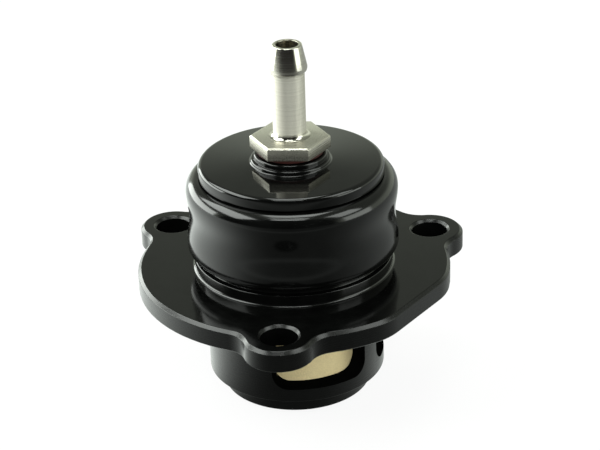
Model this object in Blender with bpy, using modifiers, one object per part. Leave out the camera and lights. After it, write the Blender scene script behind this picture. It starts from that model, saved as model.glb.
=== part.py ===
"""Piston blow off valve with a three-bolt flange, a side-ported barrel and a hose barb.

Metres, +Z up. The valve stands on its spigot. The origin is on the floor under the middle of
the flange's outline, and VALVE_Y is where the valve's own axis stands from there.
"""

import math

import bmesh
import bpy
from mathutils import Matrix, Vector

# Clearances
GAP = 0.0003
SLIDING_GAP = 0.00015
SEAL_GAP = 0.0001
THREAD_GAP = 0.0002

# Flange plate
BOLT_COUNT = 3
BOLT_CIRCLE_RADIUS = 0.0284
BOLT_HOLE_RADIUS = 0.0033
BOLT_HOLE_CHAMFER = 0.0005
EAR_RIM = 0.0030
EAR_FILLET = 0.0050
FLANGE_RADIUS = 0.0289
FLANGE_THICKNESS = 0.0040
FLANGE_TOP_CHAMFER = 0.0006
FLANGE_BOTTOM_CHAMFER = 0.0003
FLAT_ANGLE = math.radians(-30)
FLAT_DEPTH = 0.0015
FLAT_CORNER = 0.0120

# Barrel, spigot and seat below the flange
BORE_RADIUS = 0.0130
BARREL_WALL = 0.0034
BARREL_LENGTH = 0.0168
BARREL_EDGE = 0.0003
SPIGOT_RADIUS = 0.0138
SPIGOT_LENGTH = 0.0034
SPIGOT_EDGE = 0.0004
INLET_RADIUS = 0.0105
SEAT_HEIGHT = 0.0045
SEAT_CHAMFER = 0.0006

# Side windows, milled with a round cutter that is swept about the valve's axis
WINDOW_COUNT = 3
WINDOW_START = math.radians(-90)
WINDOW_SWEEP = math.radians(45)
WINDOW_PITCH = math.radians(80)
WINDOW_SILL = 0.0015
WINDOW_HEIGHT = 0.0110
MILL_RADIUS = 0.0030

# Bell above the flange
COLLAR_RADIUS = 0.0183
COLLAR_HEIGHT = 0.0022
COLLAR_FILLET = 0.0005
NECK_RADIUS = 0.0173
NECK_HEIGHT = 0.0009
BULGE_RADIUS = 0.01945
BULGE_HEIGHT = 0.0049
WAIST_RADIUS = 0.01887
WAIST_HEIGHT = 0.0105
SHOULDER_RADIUS = 0.01937
SHOULDER_DROP = 0.0027
BELL_HEIGHT = 0.0179
RIM_RADIUS = 0.0172

# Cap that screws into the bell
CAP_RADIUS = 0.01693
CAP_THICKNESS = 0.0022
CAP_EDGE = 0.00085
PLUG_RADIUS = 0.0150
PLUG_LENGTH = 0.0060
PLUG_WALL = 0.0028
THREAD_RUNOUT = 0.0006
RECESS_DEPTH = 0.0042
HUB_WALL = 0.0015
STEP_RADIUS = 0.0073
STEP_HEIGHT = 0.0008
STEP_EDGE = 0.00035
BOSS_RADIUS = 0.0067
BOSS_HEIGHT = 0.00175

# Hose fitting and its sealing washer
HEX_ACROSS_FLATS = 0.0127
HEX_HEIGHT = 0.0024
HEX_EDGE = 0.0003
HEX_CORNER_ANGLE = math.radians(2)
WASHER_RADIUS = 0.0061
WASHER_THICKNESS = 0.0005
STUB_RADIUS = 0.0048
STUB_LENGTH = 0.0085
STEM_RADIUS = 0.0030
STEM_LENGTH = 0.01245
STEM_FILLET = 0.0008
BARB_RADIUS = 0.00357
BARB_LENGTH = 0.0050
BARB_LIP = 0.0007
BARB_NOSE_RADIUS = 0.00265
AIR_BORE_RADIUS = 0.00201

# Piston, which slides in the bore
PISTON_TRAVEL = 0.0100
PISTON_WALL = 0.0024
PISTON_FLOOR = 0.0030
PISTON_NOSE_CHAMFER = 0.0006
RING_LAND = 0.0018
RING_SPACING = 0.0042

# Seals: cord radius of each ring
PISTON_RING_CORD = 0.00075
CAP_RING_CORD = 0.00075
CAP_RING_DROP = 0.0014
FLANGE_RING_CORD = 0.0010
FLANGE_RING_RADIUS = 0.0200
FLANGE_RING_PROUD = 0.0004

# Spring
SPRING_RADIUS = 0.0086
SPRING_WIRE = 0.0007
SPRING_TURNS = 5.5
SPRING_END_TURNS = 0.9

# Fineness of the round pieces
ROUND_STEPS = 44
SMALL_ROUND_STEPS = 28
RING_STEPS = 32
RING_CORD_STEPS = 8
SPRING_POINTS_PER_TURN = 12

# Levels and radii that follow from the sizes above
EAR_RADIUS = BOLT_HOLE_RADIUS + EAR_RIM
EAR_REACH = BOLT_CIRCLE_RADIUS + EAR_RADIUS
VALVE_Y = (EAR_REACH - FLANGE_RADIUS) / 2
BARREL_RADIUS = BORE_RADIUS + BARREL_WALL
FLANGE_BOTTOM = SPIGOT_LENGTH + BARREL_LENGTH
FLANGE_TOP = FLANGE_BOTTOM + FLANGE_THICKNESS
WINDOW_BOTTOM = SEAT_HEIGHT + WINDOW_SILL
RIM_LEVEL = FLANGE_TOP + BELL_HEIGHT
CAP_BOTTOM = RIM_LEVEL + GAP
CAP_TOP = CAP_BOTTOM + CAP_THICKNESS
PLUG_BOTTOM = CAP_BOTTOM - PLUG_LENGTH
BOSS_TOP = CAP_TOP + BOSS_HEIGHT
WASHER_BOTTOM = BOSS_TOP + GAP / 2
HEX_BOTTOM = WASHER_BOTTOM + WASHER_THICKNESS + GAP / 2
HEX_TOP = HEX_BOTTOM + HEX_HEIGHT
CAP_BORE_RADIUS = STUB_RADIUS + THREAD_GAP
HUB_RADIUS = CAP_BORE_RADIUS + HUB_WALL
RECESS_TOP = PLUG_BOTTOM + RECESS_DEPTH
PISTON_RADIUS = BORE_RADIUS - SLIDING_GAP
MOUTH_RADIUS = PLUG_RADIUS + THREAD_GAP
PISTON_BOTTOM = SEAT_HEIGHT + GAP
PISTON_TOP = PLUG_BOTTOM - GAP - PISTON_TRAVEL
FLOOR_TOP = PISTON_BOTTOM + PISTON_FLOOR

BLACK = ((0.012, 0.013, 0.013), 0.22, 1.0)
STEEL = ((0.62, 0.60, 0.54), 0.28, 1.0)
GOLD = ((0.62, 0.55, 0.36), 0.40, 1.0)
RUBBER = ((0.02, 0.02, 0.02), 0.65, 0.0)
FIBRE = ((0.16, 0.035, 0.02), 0.70, 0.0)
SPRING_STEEL = ((0.45, 0.45, 0.45), 0.30, 1.0)


def clear_scene():
    for old in list(bpy.data.objects):
        bpy.data.objects.remove(old)


def new_collection(name):
    made = bpy.data.collections.new(name)
    bpy.context.scene.collection.children.link(made)
    return made


def new_object(name, data, collection):
    made = bpy.data.objects.new(name, data)
    collection.objects.link(made)
    return made


def paint(obj, look):
    """Gives an object a material of its own from a colour, a roughness and a metallic value."""
    colour, roughness, metallic = look
    material = bpy.data.materials.new(obj.name)
    material.use_nodes = True
    shader = material.node_tree.nodes["Principled BSDF"]
    shader.inputs["Base Color"].default_value = (*colour, 1)
    shader.inputs["Roughness"].default_value = roughness
    shader.inputs["Metallic"].default_value = metallic
    obj.data.materials.append(material)


def smooth(obj, sharp_angle=math.radians(35)):
    obj.data.shade_smooth()
    obj.data.set_sharp_from_angle(angle=sharp_angle)


def arc(centre, radius, start, end, steps):
    """Points of an arc in a profile, from one angle in degrees to another."""
    angles = [math.radians(start + (end - start) * i / steps) for i in range(steps + 1)]
    return [(centre[0] + radius * math.cos(a), centre[1] + radius * math.sin(a)) for a in angles]


def blend_curve(low, high, steps):
    """An S-shaped side between two profile points that are upright at both ends, from high to low."""
    points = []
    for i in range(1, steps):
        share = (1 - math.cos(math.pi * i / steps)) / 2
        height = high[1] + (low[1] - high[1]) * i / steps
        points.append((high[0] + (low[0] - high[0]) * share, height))
    return points


def turned(name, profile, collection, closed=False, steps=ROUND_STEPS):
    """Turns a profile of (radius, height) points, listed down its outer side, about the Z axis."""
    mesh = bpy.data.meshes.new(name)
    shape = bmesh.new()
    corners = [shape.verts.new((radius, 0, height)) for radius, height in profile]
    for first, second in zip(corners, corners[1:]):
        shape.edges.new((first, second))
    if closed:
        shape.edges.new((corners[-1], corners[0]))
    shape.to_mesh(mesh)
    shape.free()
    obj = new_object(name, mesh, collection)
    screw = obj.modifiers.new("Turn", "SCREW")
    screw.steps = steps
    screw.render_steps = steps
    screw.use_merge_vertices = True
    screw.merge_threshold = 0.00001
    return obj


def as_mesh(obj):
    """Replaces an object by the mesh that its modifiers or its curve make."""
    graph = bpy.context.evaluated_depsgraph_get()
    graph.update()
    mesh = bpy.data.meshes.new_from_object(obj.evaluated_get(graph))
    shape = bmesh.new()
    shape.from_mesh(mesh)
    bmesh.ops.remove_doubles(shape, verts=shape.verts, dist=0.000001)
    bmesh.ops.recalc_face_normals(shape, faces=shape.faces)
    shape.to_mesh(mesh)
    shape.free()
    made = bpy.data.objects.new(obj.name + "_mesh", mesh)
    made.matrix_world = obj.matrix_world
    for collection in obj.users_collection:
        collection.objects.link(made)
    name = obj.name
    bpy.data.objects.remove(obj)
    made.name = name
    return made


def boolean(obj, other, operation):
    modifier = obj.modifiers.new(operation.title(), "BOOLEAN")
    modifier.operation = operation
    modifier.solver = "EXACT"
    modifier.object = other
    other.hide_render = True
    other.display_type = "WIRE"


def on_circle(radius, angle):
    return Vector((radius * math.cos(angle), radius * math.sin(angle), 0))


def bolt_angles():
    """The first ear points along -Y, and the others follow round the bolt circle."""
    return [math.radians(-90 + 360 * i / BOLT_COUNT) for i in range(BOLT_COUNT)]


def sweep_points(centre, radius, start, end, step=math.radians(7)):
    """Points along an arc in plan, with about one point every step."""
    count = max(2, math.ceil(abs(end - start) / step))
    angles = [start + (end - start) * i / count for i in range(count + 1)]
    return [centre + on_circle(radius, angle) for angle in angles]


def ear_outline(angle):
    """One ear: a hollow fillet off the disc, the round end about the bolt hole, and a fillet back."""
    ear = on_circle(BOLT_CIRCLE_RADIUS, angle)
    far = FLANGE_RADIUS + EAR_FILLET
    near = EAR_RADIUS + EAR_FILLET
    reach = BOLT_CIRCLE_RADIUS
    spread = math.acos((reach**2 + far**2 - near**2) / (2 * reach * far))
    points = []
    for side in (-1, 1):
        centre = on_circle(far, angle + side * spread)
        to_disc = math.atan2(-centre.y, -centre.x)
        to_ear = math.atan2(ear.y - centre.y, ear.x - centre.x)
        turn = (to_ear - to_disc + math.pi) % (2 * math.pi) - math.pi
        fillet = sweep_points(centre, EAR_FILLET, to_disc, to_disc + turn, math.radians(12))
        points.append(fillet if side < 0 else fillet[::-1])
    first = points[0][-1] - ear
    last = points[1][0] - ear
    start = math.atan2(first.y, first.x)
    turn = (math.atan2(last.y, last.x) - start) % (2 * math.pi)
    round_end = sweep_points(ear, EAR_RADIUS, start, start + turn, math.radians(12))
    return points[0] + round_end[1:-1] + points[1], spread


def flat_outline():
    """The straight side of the disc, with its two corners rounded."""
    inside = FLANGE_RADIUS - FLAT_CORNER
    offset = FLANGE_RADIUS - FLAT_DEPTH - FLAT_CORNER
    spread = math.acos(offset / inside)
    points = []
    for side in (-1, 1):
        centre = on_circle(inside, FLAT_ANGLE + side * spread)
        corner = sweep_points(centre, FLAT_CORNER, FLAT_ANGLE + side * spread, FLAT_ANGLE)
        points.append(corner if side < 0 else corner[::-1])
    return points[0] + points[1], spread


def flange_outline():
    """The whole outline, anticlockwise: ears, the flat, and arcs of the disc between them."""
    features = [(angle, *ear_outline(angle)) for angle in bolt_angles()]
    features.append((FLAT_ANGLE, *flat_outline()))
    features.sort(key=lambda feature: feature[0])
    outline = []
    for index, (angle, points, spread) in enumerate(features):
        following, _, next_spread = features[(index + 1) % len(features)]
        if following <= angle:
            following += 2 * math.pi
        start = angle + spread
        end = following - next_spread
        outline += points
        outline += sweep_points(Vector((0, 0, 0)), FLANGE_RADIUS, start, end)[1:-1]
    return outline


def chamfer_rim(obj, height, width):
    """Chamfers the edges that run round a plate at one height."""
    shape = bmesh.new()
    shape.from_mesh(obj.data)
    rim = [
        edge
        for edge in shape.edges
        if all(abs(vert.co.z - height) < 0.00001 for vert in edge.verts)
        and any(abs(face.normal.z) < 0.5 for face in edge.link_faces)
    ]
    bmesh.ops.bevel(
        shape, geom=rim, affect="EDGES", offset=width, offset_type="OFFSET", segments=1, profile=0.5,
        material=-1,
    )
    shape.to_mesh(obj.data)
    shape.free()


def flange_plate(collection):
    curve = bpy.data.curves.new("flange_plate", "CURVE")
    curve.dimensions = "2D"
    curve.fill_mode = "BOTH"
    curve.extrude = FLANGE_THICKNESS / 2
    outline = flange_outline()
    spline = curve.splines.new("POLY")
    spline.points.add(len(outline) - 1)
    for point, place in zip(spline.points, outline):
        point.co = (place.x, place.y, 0, 1)
    spline.use_cyclic_u = True
    plate = as_mesh(new_object("flange_plate", curve, collection))
    shape = bmesh.new()
    shape.from_mesh(plate.data)
    bmesh.ops.dissolve_limit(
        shape, angle_limit=math.radians(1), verts=shape.verts, edges=shape.edges, delimit={"NORMAL"}
    )
    shape.to_mesh(plate.data)
    shape.free()
    chamfer_rim(plate, FLANGE_THICKNESS / 2, FLANGE_TOP_CHAMFER)
    chamfer_rim(plate, -FLANGE_THICKNESS / 2, FLANGE_BOTTOM_CHAMFER)
    plate.location.z = FLANGE_BOTTOM + FLANGE_THICKNESS / 2
    return plate


def bell_profile():
    """The body's outside from its top rim down to the spigot, solid to the axis."""
    shoulder = RIM_LEVEL - SHOULDER_DROP
    waist = FLANGE_TOP + WAIST_HEIGHT
    bulge = FLANGE_TOP + BULGE_HEIGHT
    collar = FLANGE_TOP + COLLAR_HEIGHT
    neck = collar + NECK_HEIGHT
    sunk = FLANGE_TOP - COLLAR_FILLET / 6
    inside_plate = FLANGE_BOTTOM + FLANGE_THICKNESS / 2
    profile = [(0, RIM_LEVEL), (RIM_RADIUS, RIM_LEVEL)]
    for i in range(1, 5):
        turn = math.pi / 2 * i / 4
        out = RIM_RADIUS + (SHOULDER_RADIUS - RIM_RADIUS) * math.sin(turn)
        profile.append((out, shoulder + SHOULDER_DROP * math.cos(turn)))
    profile += blend_curve((WAIST_RADIUS, waist), (SHOULDER_RADIUS, shoulder), 4)
    profile.append((WAIST_RADIUS, waist))
    profile += blend_curve((BULGE_RADIUS, bulge), (WAIST_RADIUS, waist), 4)
    for i in range(0, 5):
        turn = math.pi / 2 * i / 4
        inward = NECK_RADIUS + (BULGE_RADIUS - NECK_RADIUS) * math.cos(turn)
        profile.append((inward, bulge - (bulge - neck) * math.sin(turn)))
    profile += [(NECK_RADIUS, collar), (COLLAR_RADIUS, collar)]
    fillet = (COLLAR_RADIUS + COLLAR_FILLET, sunk + COLLAR_FILLET)
    profile += arc(fillet, COLLAR_FILLET, 180, 270, 2)
    profile += [(COLLAR_RADIUS + COLLAR_FILLET, inside_plate), (BARREL_RADIUS, inside_plate)]
    profile += arc((BARREL_RADIUS - BARREL_EDGE, SPIGOT_LENGTH + BARREL_EDGE), BARREL_EDGE, 0, -90, 2)
    profile += [(SPIGOT_RADIUS, SPIGOT_LENGTH)]
    profile += arc((SPIGOT_RADIUS - SPIGOT_EDGE, SPIGOT_EDGE), SPIGOT_EDGE, 0, -90, 2)
    profile += [(0, 0)]
    return profile


def bore_cutter(collection):
    """Threaded mouth, cylinder bore, seat and inlet, as one turned cutter."""
    past = GAP
    mouth_floor = PLUG_BOTTOM - GAP
    lead = MOUTH_RADIUS - BORE_RADIUS
    profile = [
        (0, RIM_LEVEL + past),
        (MOUTH_RADIUS, RIM_LEVEL + past),
        (MOUTH_RADIUS, mouth_floor),
        (BORE_RADIUS, mouth_floor - lead / 2),
        (BORE_RADIUS, SEAT_HEIGHT),
        (INLET_RADIUS + SEAT_CHAMFER, SEAT_HEIGHT),
        (INLET_RADIUS, SEAT_HEIGHT - SEAT_CHAMFER),
        (INLET_RADIUS, SEAT_CHAMFER),
        (INLET_RADIUS + SEAT_CHAMFER + past, -past),
        (0, -past),
    ]
    return as_mesh(turned("bore_cutter", profile, collection))


def bolt_hole_cutter(name, angle, collection):
    """A clearance hole with its upper edge chamfered for the screw."""
    past = GAP
    wide = BOLT_HOLE_RADIUS + BOLT_HOLE_CHAMFER + past
    profile = [
        (0, FLANGE_TOP + past),
        (wide, FLANGE_TOP + past),
        (BOLT_HOLE_RADIUS, FLANGE_TOP - BOLT_HOLE_CHAMFER),
        (BOLT_HOLE_RADIUS, FLANGE_BOTTOM - past),
        (0, FLANGE_BOTTOM - past),
    ]
    cutter = as_mesh(turned(name, profile, collection, steps=SMALL_ROUND_STEPS))
    cutter.location = on_circle(BOLT_CIRCLE_RADIUS, angle)
    return cutter


def window_cutter(name, start, collection):
    """The space that the mill clears: a slot with round ends whose end walls follow the tool."""
    bottom = WINDOW_BOTTOM + MILL_RADIUS
    top = WINDOW_BOTTOM + WINDOW_HEIGHT - MILL_RADIUS
    corners = [
        (start + WINDOW_SWEEP, top, 90, 0),
        (start + WINDOW_SWEEP, bottom, 0, -90),
        (start, bottom, -90, -180),
        (start, top, 180, 90),
    ]
    loop = []
    for angle, height, first, last in corners:
        for along, up in arc((0, height), MILL_RADIUS, first, last, 6):
            loop.append((angle, along, up))
    mesh = bpy.data.meshes.new(name)
    shape = bmesh.new()
    edges = []
    for distance in (BORE_RADIUS - BARREL_WALL / 2, BARREL_RADIUS + 2 * BARREL_WALL):
        ring = []
        for angle, along, up in loop:
            place = on_circle(distance, angle) + on_circle(along, angle + math.pi / 2)
            ring.append(shape.verts.new((place.x, place.y, up)))
        edges += [shape.edges.new((ring[i], ring[(i + 1) % len(ring)])) for i in range(len(ring))]
    bmesh.ops.bridge_loops(shape, edges=edges)
    bmesh.ops.holes_fill(shape, edges=shape.edges)
    bmesh.ops.triangulate(shape, faces=shape.faces)
    bmesh.ops.recalc_face_normals(shape, faces=shape.faces)
    shape.to_mesh(mesh)
    shape.free()
    return new_object(name, mesh, collection)


def ring_groove_cutter(collection):
    """The groove for the flange ring, deep enough to leave the ring a little proud."""
    half = FLANGE_RING_CORD + SEAL_GAP
    inner = FLANGE_RING_RADIUS - half
    outer = FLANGE_RING_RADIUS + half
    high = FLANGE_BOTTOM - FLANGE_RING_PROUD + 2 * FLANGE_RING_CORD + SEAL_GAP
    low = FLANGE_BOTTOM - GAP
    profile = [(outer, high), (outer, low), (inner, low), (inner, high)]
    return as_mesh(turned("flange_groove", profile, collection, closed=True))


def make_body(parts, cutters):
    body = as_mesh(turned("body", bell_profile(), parts))
    boolean(body, flange_plate(cutters), "UNION")
    boolean(body, bore_cutter(cutters), "DIFFERENCE")
    for index, angle in enumerate(bolt_angles()):
        boolean(body, bolt_hole_cutter(f"bolt_hole_{index + 1}", angle, cutters), "DIFFERENCE")
    for index in range(WINDOW_COUNT):
        start = WINDOW_START + WINDOW_PITCH * index
        boolean(body, window_cutter(f"window_{index + 1}", start, cutters), "DIFFERENCE")
    boolean(body, ring_groove_cutter(cutters), "DIFFERENCE")
    return body


def make_cap(parts):
    """Disc with a rounded edge, a stepped boss, and a threaded plug hollowed for the spring."""
    groove = MOUTH_RADIUS - 2 * (CAP_RING_CORD + SEAL_GAP)
    half = CAP_RING_CORD + SEAL_GAP
    ring = CAP_BOTTOM - CAP_RING_DROP
    recess = PLUG_RADIUS - PLUG_WALL
    step = CAP_TOP + STEP_HEIGHT
    profile = [(CAP_BORE_RADIUS, BOSS_TOP)]
    profile += arc((BOSS_RADIUS - STEP_EDGE, BOSS_TOP - STEP_EDGE), STEP_EDGE, 90, 0, 2)
    profile += [(BOSS_RADIUS, step)]
    profile += arc((STEP_RADIUS - STEP_EDGE, step - STEP_EDGE), STEP_EDGE, 90, 0, 2)
    profile += arc((STEP_RADIUS + STEP_EDGE, CAP_TOP + STEP_EDGE), STEP_EDGE, 180, 270, 2)
    profile += arc((CAP_RADIUS - CAP_EDGE, CAP_TOP - CAP_EDGE), CAP_EDGE, 90, 0, 3)
    profile += [
        (CAP_RADIUS, CAP_BOTTOM),
        (PLUG_RADIUS, CAP_BOTTOM),
        (PLUG_RADIUS, ring + half),
        (groove, ring + half),
        (groove, ring - half),
        (PLUG_RADIUS, ring - half),
        (PLUG_RADIUS, PLUG_BOTTOM + THREAD_RUNOUT),
        (PLUG_RADIUS - THREAD_RUNOUT, PLUG_BOTTOM),
        (recess, PLUG_BOTTOM),
        (recess, RECESS_TOP),
        (HUB_RADIUS, RECESS_TOP),
        (HUB_RADIUS, PLUG_BOTTOM),
        (CAP_BORE_RADIUS, PLUG_BOTTOM),
    ]
    return turned("cap", profile, parts, closed=True)


def make_fitting(parts, cutters):
    """Hose barb, hexagon and threaded stub turned from one bar, with the air bore through it."""
    barb_base = HEX_TOP + STEM_LENGTH
    top = barb_base + BARB_LENGTH
    nose = BARB_NOSE_RADIUS - AIR_BORE_RADIUS
    profile = [(0, top), (BARB_NOSE_RADIUS - nose / 4, top), (BARB_NOSE_RADIUS, top - nose / 4)]
    lip = BARB_LIP / 2
    profile += arc((BARB_RADIUS - lip, barb_base + lip), lip, 15, -90, 5)
    profile += [(STEM_RADIUS, barb_base)]
    profile += arc((STEM_RADIUS + STEM_FILLET, HEX_TOP + STEM_FILLET), STEM_FILLET, 180, 265, 5)
    sunk = HEX_TOP - HEX_HEIGHT / 2
    stub_bottom = HEX_BOTTOM - STUB_LENGTH
    profile += [
        (STEM_RADIUS + STEM_FILLET, sunk),
        (STUB_RADIUS, sunk),
        (STUB_RADIUS, stub_bottom + THREAD_RUNOUT),
        (STUB_RADIUS - THREAD_RUNOUT, stub_bottom),
        (0, stub_bottom),
    ]
    fitting = as_mesh(turned("hose_fitting", profile, parts, steps=SMALL_ROUND_STEPS))
    boolean(fitting, hexagon(cutters), "UNION")
    bore = [
        (0, top + GAP),
        (AIR_BORE_RADIUS + nose / 4, top + GAP),
        (AIR_BORE_RADIUS, top - nose / 4),
        (AIR_BORE_RADIUS, stub_bottom - GAP),
        (0, stub_bottom - GAP),
    ]
    cutter = as_mesh(turned("air_bore", bore, cutters, steps=SMALL_ROUND_STEPS // 2))
    boolean(fitting, cutter, "DIFFERENCE")
    return fitting


def hexagon(collection):
    """A hexagon prism with its upper edges broken; the primitive's first corner is on +Y."""
    corner_radius = HEX_ACROSS_FLATS / math.sqrt(3)
    mesh = bpy.data.meshes.new("hexagon")
    shape = bmesh.new()
    bmesh.ops.create_cone(
        shape, cap_ends=True, segments=6, radius1=corner_radius, radius2=corner_radius, depth=HEX_HEIGHT,
        matrix=Matrix.Rotation(HEX_CORNER_ANGLE - math.pi / 2, 4, "Z"),
    )
    shape.to_mesh(mesh)
    shape.free()
    prism = new_object("hexagon", mesh, collection)
    chamfer_rim(prism, HEX_HEIGHT / 2, HEX_EDGE)
    prism.location.z = HEX_BOTTOM + HEX_HEIGHT / 2
    return prism


def make_washer(parts):
    inner = STUB_RADIUS + THREAD_GAP
    top = WASHER_BOTTOM + WASHER_THICKNESS
    profile = [(inner, top), (WASHER_RADIUS, top), (WASHER_RADIUS, WASHER_BOTTOM), (inner, WASHER_BOTTOM)]
    return turned("fitting_washer", profile, parts, closed=True, steps=SMALL_ROUND_STEPS)


def ring_heights():
    """Centre heights of the piston's two ring grooves, upper first."""
    upper = PISTON_TOP - RING_LAND - PISTON_RING_CORD
    return upper, upper - RING_SPACING


def make_piston(parts):
    """A cup with its nose on the seat and two ring grooves near its open end."""
    inner = PISTON_RADIUS - PISTON_WALL
    groove = BORE_RADIUS - 2 * (PISTON_RING_CORD + SEAL_GAP)
    half = PISTON_RING_CORD + SEAL_GAP
    chamfer = PISTON_NOSE_CHAMFER
    profile = [
        (inner + chamfer / 2, PISTON_TOP),
        (PISTON_RADIUS - chamfer / 2, PISTON_TOP),
        (PISTON_RADIUS, PISTON_TOP - chamfer / 2),
    ]
    for height in ring_heights():
        profile += [
            (PISTON_RADIUS, height + half),
            (groove, height + half),
            (groove, height - half),
            (PISTON_RADIUS, height - half),
        ]
    profile += [
        (PISTON_RADIUS, PISTON_BOTTOM + chamfer),
        (PISTON_RADIUS - chamfer, PISTON_BOTTOM),
        (0, PISTON_BOTTOM),
    ]
    hollow = [
        (0, FLOOR_TOP),
        (inner - chamfer, FLOOR_TOP),
        (inner, FLOOR_TOP + chamfer),
        (inner, PISTON_TOP - chamfer / 2),
    ]
    return turned("piston", hollow + profile, parts)


def make_ring(name, radius, cord, height, parts):
    """A rubber ring of round section."""
    section = arc((radius, height), cord, 90, 90 - 360 * (1 - 1 / RING_CORD_STEPS), RING_CORD_STEPS - 1)
    return turned(name, section, parts, closed=True, steps=RING_STEPS)


def make_rings(parts):
    piston_ring = BORE_RADIUS - PISTON_RING_CORD - SEAL_GAP
    upper, lower = ring_heights()
    cap_ring = MOUTH_RADIUS - CAP_RING_CORD - SEAL_GAP
    return [
        make_ring("piston_ring_upper", piston_ring, PISTON_RING_CORD, upper, parts),
        make_ring("piston_ring_lower", piston_ring, PISTON_RING_CORD, lower, parts),
        make_ring("cap_ring", cap_ring, CAP_RING_CORD, CAP_BOTTOM - CAP_RING_DROP, parts),
        make_ring(
            "flange_ring", FLANGE_RING_RADIUS, FLANGE_RING_CORD,
            FLANGE_BOTTOM - FLANGE_RING_PROUD + FLANGE_RING_CORD, parts,
        ),
    ]


def make_spring(parts):
    """A helix that lies flat at both ends, between the piston's floor and the cap's recess."""
    low = FLOOR_TOP + GAP + SPRING_WIRE
    high = RECESS_TOP - GAP - SPRING_WIRE
    total = SPRING_TURNS + 2 * SPRING_END_TURNS
    coil_gap = 2 * SPRING_WIRE + GAP
    count = round(total * SPRING_POINTS_PER_TURN)
    curve = bpy.data.curves.new("spring", "CURVE")
    curve.dimensions = "3D"
    curve.bevel_depth = SPRING_WIRE
    curve.bevel_resolution = 2
    curve.use_fill_caps = True
    spline = curve.splines.new("POLY")
    spline.points.add(count)
    for i, point in enumerate(spline.points):
        turn = total * i / count
        closed_rise = SPRING_END_TURNS * coil_gap
        if turn < SPRING_END_TURNS:
            height = low + turn * coil_gap
        elif turn > total - SPRING_END_TURNS:
            height = high - (total - turn) * coil_gap
        else:
            share = (turn - SPRING_END_TURNS) / SPRING_TURNS
            height = low + closed_rise + share * (high - low - 2 * closed_rise)
        place = on_circle(SPRING_RADIUS, 2 * math.pi * turn)
        point.co = (place.x, place.y, height, 1)
    return new_object("spring", curve, parts)


def main():
    clear_scene()
    parts = new_collection("blow_off_valve")
    cutters = new_collection("cutters")
    stand = new_object("valve_axis", None, parts)
    stand.location = (0, VALVE_Y, 0)
    looks = [
        (make_body(parts, cutters), BLACK),
        (make_cap(parts), BLACK),
        (make_fitting(parts, cutters), STEEL),
        (make_washer(parts), FIBRE),
        (make_piston(parts), GOLD),
        (make_spring(parts), SPRING_STEEL),
    ]
    looks += [(ring, RUBBER) for ring in make_rings(parts)]
    for obj, look in looks:
        paint(obj, look)
        obj.parent = stand
        if obj.type == "MESH":
            smooth(obj)
    for cutter in cutters.objects:
        cutter.parent = stand


main()
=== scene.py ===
# %% [markdown]
# # A blow off valve in a light tent
#
# This valve bolts to a turbocharger. A vacuum hose pushes onto the barb on top, and boost air
# that the engine doesn't want lifts the gold piston and leaves through the windows in the barrel.
#
# The measured model comes in first. It fixes where each piece sits. All
# the pieces that follow are finer versions of its pieces, made in the same place and at the same
# size.

# %% Load the measured model
import math

import bmesh
import bpy
from mathutils import Matrix, Vector
from mathutils.geometry import interpolate_bezier


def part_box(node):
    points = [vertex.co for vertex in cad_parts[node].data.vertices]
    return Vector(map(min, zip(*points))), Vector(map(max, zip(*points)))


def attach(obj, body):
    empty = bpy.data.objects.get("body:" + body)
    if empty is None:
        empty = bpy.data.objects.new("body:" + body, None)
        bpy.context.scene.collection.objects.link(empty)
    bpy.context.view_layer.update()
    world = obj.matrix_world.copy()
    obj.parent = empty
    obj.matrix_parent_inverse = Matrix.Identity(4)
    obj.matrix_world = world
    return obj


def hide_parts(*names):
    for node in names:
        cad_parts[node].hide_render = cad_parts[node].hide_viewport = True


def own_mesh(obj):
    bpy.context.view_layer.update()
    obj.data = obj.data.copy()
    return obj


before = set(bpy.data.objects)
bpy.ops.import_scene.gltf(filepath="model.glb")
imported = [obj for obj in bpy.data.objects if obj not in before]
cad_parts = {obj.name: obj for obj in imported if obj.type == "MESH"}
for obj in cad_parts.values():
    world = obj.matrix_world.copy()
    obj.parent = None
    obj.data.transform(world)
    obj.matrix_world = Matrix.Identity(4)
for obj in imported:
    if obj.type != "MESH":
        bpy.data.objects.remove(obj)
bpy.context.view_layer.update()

print("measured pieces:", ", ".join(sorted(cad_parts)))

# %% [markdown]
# ## Sizes
#
# A drawing of a turned part gives radii from its axis and heights from its foot, in millimetres.
# The same is done here, so that a profile reads like the drawing. The axis of the valve stands
# 2.9 mm behind the middle of the flange. The model's own boxes then show whether the drawing
# still fits.

# %% Sizes in millimetres
MM = 0.001
AXIS = Vector((0, 2.9 * MM, 0))
BORE, PLUG, AIR_BORE = 13.0, 15.0, 2.01
SEAT, FLANGE_FOOT, FLANGE_TOP = 4.5, 20.2, 24.2
RIM, CAP_TOP, BOSS_TOP = 42.1, 44.6, 46.35
HEX_FOOT, HEX_TOP, BARB_FOOT, BARB_TOP = 47.15, 49.55, 62.0, 67.0
PISTON_FOOT, PISTON_TOP, TRAVEL = 4.8, 26.1, 10.0
PISTON_GROOVES = (23.55, 19.35)
WELD = 0.0005 * MM

for node in ("body", "cap", "hose_fitting", "piston"):
    low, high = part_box(node)
    print(f"{node} stands from {low[2] / MM:.2f} to {high[2] / MM:.2f} mm")

# %% [markdown]
# ## From a mesh to a piece
#
# Every piece ends the same way. It is moved onto the axis, its faces are turned outwards, and it
# is shaded smooth except where two faces meet at a real edge. It then takes its material, rides
# on the body that carries it, and stands for the plain solid that it replaces.

# %% Finish a piece
REAL_EDGE = math.radians(32)


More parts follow.
